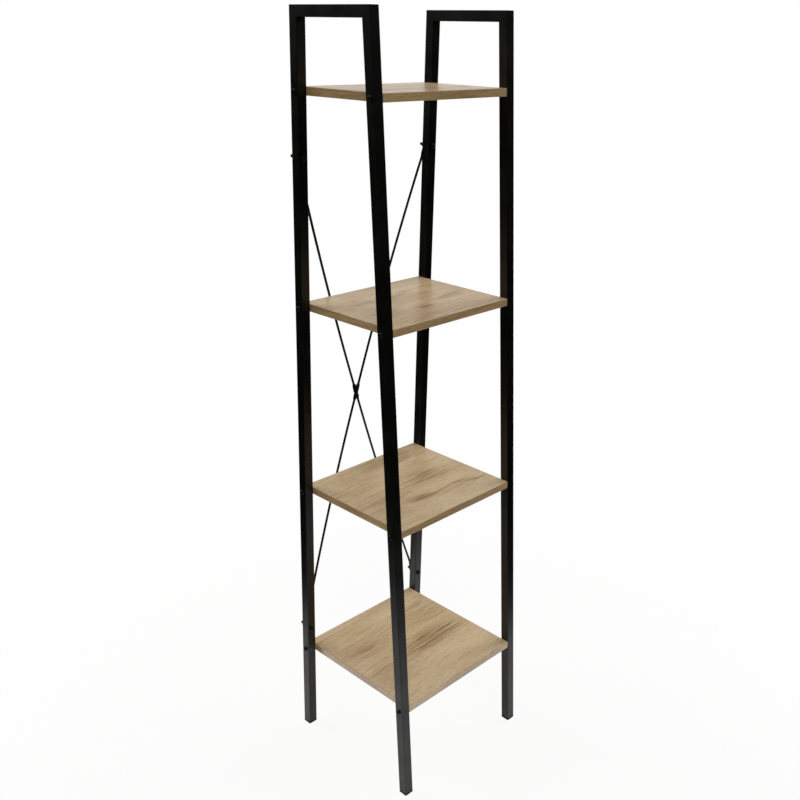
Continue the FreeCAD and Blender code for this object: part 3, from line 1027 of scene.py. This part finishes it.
@dataclass
class BraceRod:
    """Bowed rod of the brace, drawn along X over the legs' rear faces and pressed flat where it is bolted."""

    name: str
    # From the crossing to a corner bolt.
    half_length: float
    # Height of the rod's centre where the rods cross.
    crossing: float
    radius: float = 0.0025
    sides: int = 24
    clearance: float = 0.0003
    flat_width: float = 0.012
    flat_thickness: float = 0.0022
    # The press flattens a rod from this share of its radius outwards.
    press_share: float = 0.45
    tab_reach: float = 0.015
    neck_length: float = 0.012
    # The photograph shows the rods pressed less wide where they cross than at their ends.
    crossing_width: float = 0.0105
    crossing_reach: float = 0.012
    crossing_neck: float = 0.009
    crossing_rings: int = 2
    neck_rings: int = 6
    bow_rings: int = 16
    tip_rings: int = 6
    # The blunt end stops this part of a ring short of the full round.
    blunt_ring: float = 1 / 3

    def __post_init__(self) -> None:
        """Mark where the rod's form changes, as distances from the crossing."""
        self.bow_start = self.crossing_reach + self.crossing_neck
        self.tab_start = self.half_length - self.tab_reach
        self.bow_end = self.tab_start - self.neck_length

    def _tip(self, ring: float) -> float:
        """Distance from the crossing to a ring on the rod's round end."""
        return self.half_length + self.flat_width / 2 * math.sin(math.pi / 2 * ring / self.tip_rings)

    def _stations(self) -> list[float]:
        """Places of the rings along half the rod.

        Returns:
            Distances from the crossing, from small to large.
        """
        marks = (0.0, self.crossing_reach, self.bow_start, self.bow_end, self.tab_start)
        counts = (self.crossing_rings, self.neck_rings, self.bow_rings, self.neck_rings)
        stations = [
            start + (end - start) * ring / rings for start, end, rings in zip(marks, marks[1:], counts)
            for ring in range(rings)]
        return [*stations, self.tab_start, *map(self._tip, range(self.tip_rings))]

    def _section(self, distance: float) -> tuple[float, float, float, float]:
        """Section of the rod at a distance from the crossing.

        Args:
            distance: Distance from the crossing along the rod.

        Returns:
            How far the rod is pressed flat from 0 to 1, its width, its thickness and its centre's height.
        """
        lift = self.radius + self.clearance
        round_size = 2 * self.radius
        flat_width = self.flat_width
        if distance <= self.bow_start:
            pressed = min(1.0, (self.bow_start - distance) / self.crossing_neck)
            height = self.crossing
            flat_width = self.crossing_width
        elif distance < self.bow_end:
            pressed = 0.0
            drop = self.crossing - lift
            bow_radius = ((self.bow_end - self.bow_start) ** 2 + drop ** 2) / (2 * drop)
            along = distance - self.bow_start
            height = self.crossing - bow_radius + math.sqrt(bow_radius ** 2 - along ** 2)
        else:
            pressed = min(1.0, (distance - self.bow_end) / self.neck_length)
            height = lift + (self.flat_thickness / 2 - lift) * pressed
        # A smooth step, which leaves no crease where the round rod turns flat.
        eased = pressed * pressed * (3 - 2 * pressed)
        width = round_size + (flat_width - round_size) * eased
        thickness = round_size + (self.flat_thickness - round_size) * eased
        past = max(0.0, distance - self.half_length) / (self.flat_width / 2)
        return eased, width * math.sqrt(max(0.0, 1 - past * past)), thickness, height

    def _press(self, rod: Object, station: float) -> None:
        """Shape the ring at one station: widen it, press it flat and lift it to its place.

        Args:
            rod: Straight rod along X, in edit mode.
            station: Place of the ring along X.
        """
        pressed, width, thickness, height = self._section(abs(station))
        wider = width / (2 * self.radius)
        thinner = thickness / (2 * self.radius)
        flat_from = self.press_share * self.radius * thinner
        pick(rod, Element.VERT, lambda vert: abs(vert.co.x - station) < TOUCH)
        bpy.ops.transform.resize(value=(1.0, wider, thinner), center_override=(station, 0.0, 0.0))
        for sign in (-1, 1):
            found = pick(
                rod, Element.VERT,
                lambda vert: abs(vert.co.x - station) < TOUCH and sign * vert.co.z > flat_from)
            if found and pressed > 0:
                bpy.ops.transform.resize(
                    value=(1.0, 1.0, 1 - pressed), center_override=(station, 0.0, sign * thickness / 2))
        pick(rod, Element.VERT, lambda vert: abs(vert.co.x - station) < TOUCH)
        bpy.ops.transform.translate(value=(0.0, 0.0, height))

    def build(self, place: Matrix) -> Object:
        """Model the rod from a straight bar: mark its rings, press and bow it, and lay it behind the legs.

        Args:
            place: Where the crossing and the rod's own axes go.

        Returns:
            The finished rod.
        """
        tip = self._tip(self.tip_rings - self.blunt_ring)
        rod = begin(
            bpy.ops.mesh.primitive_cylinder_add, self.name, vertices=self.sides, radius=self.radius,
            depth=2 * tip, rotation=(0.0, math.pi / 2, 0.0))
        stations = sorted({sign * station for station in self._stations() for sign in (-1, 1)})
        for station in stations:
            bpy.ops.mesh.select_all(action="SELECT")
            bpy.ops.mesh.bisect(plane_co=(station, 0.0, 0.0), plane_no=(1.0, 0.0, 0.0))
        for station in [-tip, *stations, tip]:
            self._press(rod, station)
        settle(rod, place)
        bpy.ops.object.mode_set(mode="EDIT")
        return close(rod)


@dataclass
class CrossBrace:
    """Brace behind the rear legs: two bowed rods that cross, with their bolts and nuts."""

    side_frame: SideFrame
    nut_height: float = 0.005
    corner_tip: float = 0.0078
    # The rods' flats hide the fastener at the crossing in the photograph, so it is a smaller one.
    small_nut_across_flats: float = 0.007
    small_nut_height: float = 0.0032
    small_tip: float = 0.001

    def __post_init__(self) -> None:
        """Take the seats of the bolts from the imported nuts."""
        lean = self.side_frame.lean
        self.normal = Vector((0.0, math.cos(lean), math.sin(lean)))
        back = BraceRod.flat_thickness + self.nut_height / 2
        points = [vert.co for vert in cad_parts["brace_corner_nuts"].data.vertices]
        middle = self._box_centre(points)
        self.seats: dict[tuple[Side, bool], Vector] = {}
        for side in Side:
            for high in (False, True):
                nut = [vert for vert in points if vert.x * side.value > 0 and (vert.z > middle.z) == high]
                self.seats[side, high] = self._box_centre(nut) - self.normal * back
        self.centre = sum(self.seats.values(), Vector()) / len(self.seats)
        nut = [vert.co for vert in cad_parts["brace_centre_nut"].data.vertices]
        self.bow = (self._box_centre(nut) - self.centre).dot(self.normal) - back

    @staticmethod
    def _box_centre(points: list[Vector]) -> Vector:
        """Middle of the box round some points."""
        return Vector([(min(values) + max(values)) / 2 for values in zip(*points)])

    def _seat(self, fastener: Object, seat: Vector) -> Object:
        """Put a finished fastener on its seat, with its own +Z towards the front.

        Args:
            fastener: Bolt or nut built along -Z with its seat at the origin.
            seat: Where its seat goes.

        Returns:
            The same object.
        """
        bpy.ops.object.select_all(action="DESELECT")
        fastener.select_set(True)
        bpy.context.view_layer.objects.active = fastener
        turn = Vector((0.0, 0.0, 1.0)).rotation_difference(-self.normal)
        settle(fastener, Matrix.Translation(seat) @ turn.to_matrix().to_4x4())
        return fastener

    def build(self) -> None:
        """Model the rods, the bolts and the nut at the crossing. The corner nuts stay as they are packed."""
        flat = BraceRod.flat_thickness
        tube = self.side_frame.tube
        self.rods: dict[str, Object] = {}
        for side in Side:
            diagonal = self.seats[side, True] - self.seats[Side(-side.value), False]
            along = diagonal.normalized()
            axes = Matrix((along, self.normal.cross(along), self.normal)).transposed().to_4x4()
            node = f"brace_rod_{side.name.lower()}_high"
            rod = BraceRod(f"{node}_bar", diagonal.length / 2, self.bow - side.value * flat / 2)
            self.rods[node] = rod.build(Matrix.Translation(self.centre) @ axes)
        thread = self.nut_height + self.corner_tip
        bolts = [RoundHeadBolt("brace_corner_bolt", M6, tube + flat + thread, thread).build()]
        while len(bolts) < len(self.seats):
            copy = bolts[0].copy()
            copy.data = bolts[0].data.copy()
            bpy.context.scene.collection.objects.link(copy)
            bolts.append(copy)
        for bolt, seat in zip(bolts, self.seats.values()):
            self._seat(bolt, seat - self.normal * tube)
        small_thread = self.small_nut_height + self.small_tip
        small_bolt = RoundHeadBolt("brace_crossing_bolt", M4, 2 * flat + small_thread, small_thread).build()
        small_nut = HexNut(
            "brace_crossing_nut", self.small_nut_across_flats, self.small_nut_height, M4.radius).build()
        front = self.centre + self.normal * (self.bow - flat)
        rear = self.centre + self.normal * (self.bow + flat)
        self.fasteners = {
            "brace_corner_bolts": join(bolts, "brace_corner_bolt_set"),
            "brace_centre_bolt": self._seat(small_bolt, front),
            "brace_centre_nut": self._seat(small_nut, rear)}

    def dress(self, coat: Material, fastener: Material) -> None:
        """Coat the rods and finish the fasteners.

        Args:
            coat: Finish of the rods.
            fastener: Finish of the bolts and nuts.
        """
        for node, piece in self.rods.items():
            stand_for(piece, node, Slot.POWDER_COAT, coat)
        for node, piece in self.fasteners.items():
            stand_for(piece, node, Slot.FASTENER, fastener)
        dress_node("brace_corner_nuts", fastener)


@dataclass(frozen=True)
class SoftBox:
    """Square soft lamp."""

    name: str
    place: Triple
    size: float
    watts: float

    def build(self, target: Vector) -> None:
        """Hang the lamp and aim it.

        Args:
            target: Point that it looks at.
        """
        data = bpy.data.lights.new(self.name, "AREA")
        data.shape = "SQUARE"
        data.size = self.size
        data.energy = self.watts
        lamp = bpy.data.objects.new(self.name, data)
        lamp.location = self.place
        lamp.rotation_euler = (target - Vector(self.place)).to_track_quat("-Z", "Y").to_euler()
        bpy.context.scene.collection.objects.link(lamp)


@dataclass(frozen=True)
class Drape:
    """Black cloth round the set, open to the right rear, which keeps the tubes' gloss dark above the floor.

    It is out of the camera's sight, takes no part in diffuse light and throws no shadow.
    """

    name: str = "black_drape"
    cloth_name: str = "black_drape_cloth"
    radius: float = 0.66
    height: float = 2.6
    sides: int = 72
    # Bearings from +X towards +Y, in degrees.
    open_bearings: Span = (8.0, 84.0)
    colour: str = "#050505"

    def build(self) -> None:
        """Hang the drape from a ring and part it at its opening."""
        drape = begin(bpy.ops.mesh.primitive_circle_add, self.name, vertices=self.sides, radius=self.radius)
        bpy.ops.mesh.select_all(action="SELECT")
        bpy.ops.mesh.extrude_region_move(TRANSFORM_OT_translate={"value": (0.0, 0.0, self.height)})
        first, last = self.open_bearings
        pick(
            drape, Element.FACE,
            lambda face: first < math.degrees(math.atan2(*face.calc_center_median().yx)) < last)
        bpy.ops.mesh.delete(type="FACE")
        bpy.ops.object.mode_set(mode="OBJECT")
        material, tree = new_material(self.cloth_name)
        cloth = add_node(tree, "BsdfDiffuse", {"Color": linear(self.colour)})
        add_node(tree, "OutputMaterial", {"Surface": cloth})
        drape.data.materials.append(material)
        drape.visible_camera = False
        drape.visible_diffuse = False
        drape.visible_shadow = False


@dataclass
class Studio:
    """Plain pale floor, white surroundings and soft lamps."""

    floor_radius: float = 40.0
    floor_sides: int = 64
    paper_colour: str = "#FAF9F6"
    floor_colour: str = "#8E8D8A"
    # The object stands on a sheet of white paper, which lights its lower boards, on a greyer floor.
    paper_reach: Span = (1.3, 2.1)
    # The floor shows its own shade near the object and plain white from this far out.
    shade_reach: Span = (0.5, 1.8)
    floor_white_share: float = 0.92
    # In gloss, the floor under the shelf shows its own shade alone, as far out as this.
    under_reach: Span = (0.12, 0.30)
    sky_strength: float = 0.30
    lamps: tuple[SoftBox, ...] = (
        SoftBox("rear_soft_box", (-1.8, 5.0, 4.8), 3.0, 166.0),
        SoftBox("right_soft_box", (5.2, -0.8, 4.8), 3.0, 166.0),
        SoftBox("front_soft_box", (-3.6, -4.2, 5.4), 3.0, 78.0),
    )
    drape: Drape = Drape()

    @staticmethod
    def _seen_directly(tree: NodeTree, path: Node) -> Node:
        """Say in nodes whether a ray is a camera, glossy or transmission ray.

        Args:
            tree: Node tree of a material or the world.
            path: Node that tells the rays apart.

        Returns:
            A node that gives 1 for such a ray and 0 for the rest.
        """
        seen = path.outputs["Is Camera Ray"]
        for ray in ("Is Glossy Ray", "Is Transmission Ray"):
            seen = add_node(tree, "Math", {0: seen, 1: path.outputs[ray]}, operation="MAXIMUM")
        return seen

    def _world(self) -> None:
        """Light the scene softly from all round, and show it white."""
        world = bpy.data.worlds.new("white_studio")
        world.use_nodes = True
        tree = world.node_tree
        tree.nodes.clear()
        path = add_node(tree, "LightPath", {})
        light, white = (
            add_node(tree, "Background", {"Color": linear(WHITE), "Strength": strength})
            for strength in (self.sky_strength, 1.0))
        shown = add_node(tree, "MixShader", {0: self._seen_directly(tree, path), 1: light, 2: white})
        add_node(tree, "OutputWorld", {"Surface": shown})
        bpy.context.scene.world = world

    def _floor(self) -> None:
        """Lay the floor, which keeps the object's shadow and fades to white."""
        floor = begin(
            bpy.ops.mesh.primitive_circle_add, "studio_floor", vertices=self.floor_sides,
            radius=self.floor_radius, fill_type="NGON")
        bpy.ops.object.mode_set(mode="OBJECT")
        material, tree = new_material("pale_studio_floor")
        place = add_node(tree, "TexCoord", {}).outputs["Object"]
        away = add_node(tree, "VectorMath", {0: place}, operation="LENGTH")
        fades = (
            (self.paper_reach, 0.0, "LINEAR"), (self.shade_reach, self.floor_white_share, "SMOOTHSTEP"),
            (self.under_reach, 0.0, "SMOOTHSTEP"))
        rim, white_share, beside = (
            add_node(
                tree, "MapRange",
                {"Value": away, "From Min": near, "From Max": far, "To Min": start, "To Max": 1.0},
                interpolation_type=fade)
            for (near, far), start, fade in fades)
        tone = add_node(
            tree, "Mix", {"Factor": rim, "A": linear(self.paper_colour), "B": linear(self.floor_colour)},
            data_type="RGBA")
        paper = add_node(tree, "BsdfDiffuse", {"Color": tone})
        white = add_node(tree, "Emission", {"Color": linear(WHITE), "Strength": 1.0})
        path = add_node(tree, "LightPath", {})
        share = add_node(tree, "Math", {0: beside, 1: path.outputs["Is Camera Ray"]}, operation="MAXIMUM")
        for factor in (white_share, self._seen_directly(tree, path)):
            share = add_node(tree, "Math", {0: share, 1: factor}, operation="MULTIPLY")
        shown = add_node(tree, "MixShader", {0: share, 1: paper, 2: white})
        add_node(tree, "OutputMaterial", {"Surface": shown})
        floor.data.materials.append(material)

    def build(self) -> None:
        """Set up the floor, the surroundings and the lamps."""
        self._world()
        self._floor()
        for lamp in self.lamps:
            lamp.build((CAD_BOX[0] + CAD_BOX[1]) / 2)
        self.drape.build()
        bpy.context.scene.view_settings.view_transform = "Standard"


@dataclass(frozen=True)
class PhotoCamera:
    """Camera at the photograph's viewing angle, in metres, degrees and pixels of its frame."""

    place: Triple = (-1.25106, -1.32381, 1.51411)
    heading: float = 47.804
    pitch: float = -21.250
    roll: float = 1.235
    focal_pixels: float = 949.88
    centre_pixel: Span = (476.01, 400.24)
    frame_pixels: float = 800.0
    sensor: float = 36.0

    def build(self) -> None:
        """Set up the camera."""
        data = bpy.data.cameras.new("photo_camera")
        data.sensor_fit = "HORIZONTAL"
        data.sensor_width = self.sensor
        data.lens = self.focal_pixels / self.frame_pixels * self.sensor
        data.shift_x = 0.5 - self.centre_pixel[0] / self.frame_pixels
        data.shift_y = self.centre_pixel[1] / self.frame_pixels - 0.5
        camera = bpy.data.objects.new("photo_camera", data)
        level = Matrix.Rotation(-math.radians(self.heading), 4, "Z") @ Matrix.Rotation(math.pi / 2, 4, "X")
        tilt = Matrix.Rotation(math.radians(self.pitch), 4, "X")
        twist = Matrix.Rotation(math.radians(self.roll), 4, "Z")
        camera.matrix_world = Matrix.Translation(self.place) @ level @ tilt @ twist
        bpy.context.scene.collection.objects.link(camera)
        bpy.context.scene.camera = camera


def main() -> None:
    """Build, dress and light the shelf."""
    logging.basicConfig(level=logging.INFO, format="%(name)s: %(message)s")
    coat = PowderCoat().material()
    foot = MouldedPlastic().material()
    fastener = BlackZinc().material()
    insert = ClearZinc().material()
    face = OakPrint()
    band = BandPrint()
    frames = [SideFrame(side) for side in Side]
    for side_frame in frames:
        side_frame.build()
        side_frame.dress(coat, foot)
    for level in BOARD_FLAMES_AND_SHADE:
        shelf = Shelf(level)
        shelf.build()
        shelf.dress(face, band, fastener, insert)
    brace = CrossBrace(frames[0])
    brace.build()
    brace.dress(coat, fastener)
    Studio().build()
    PhotoCamera().build()


if __name__ == "__main__":
    main()
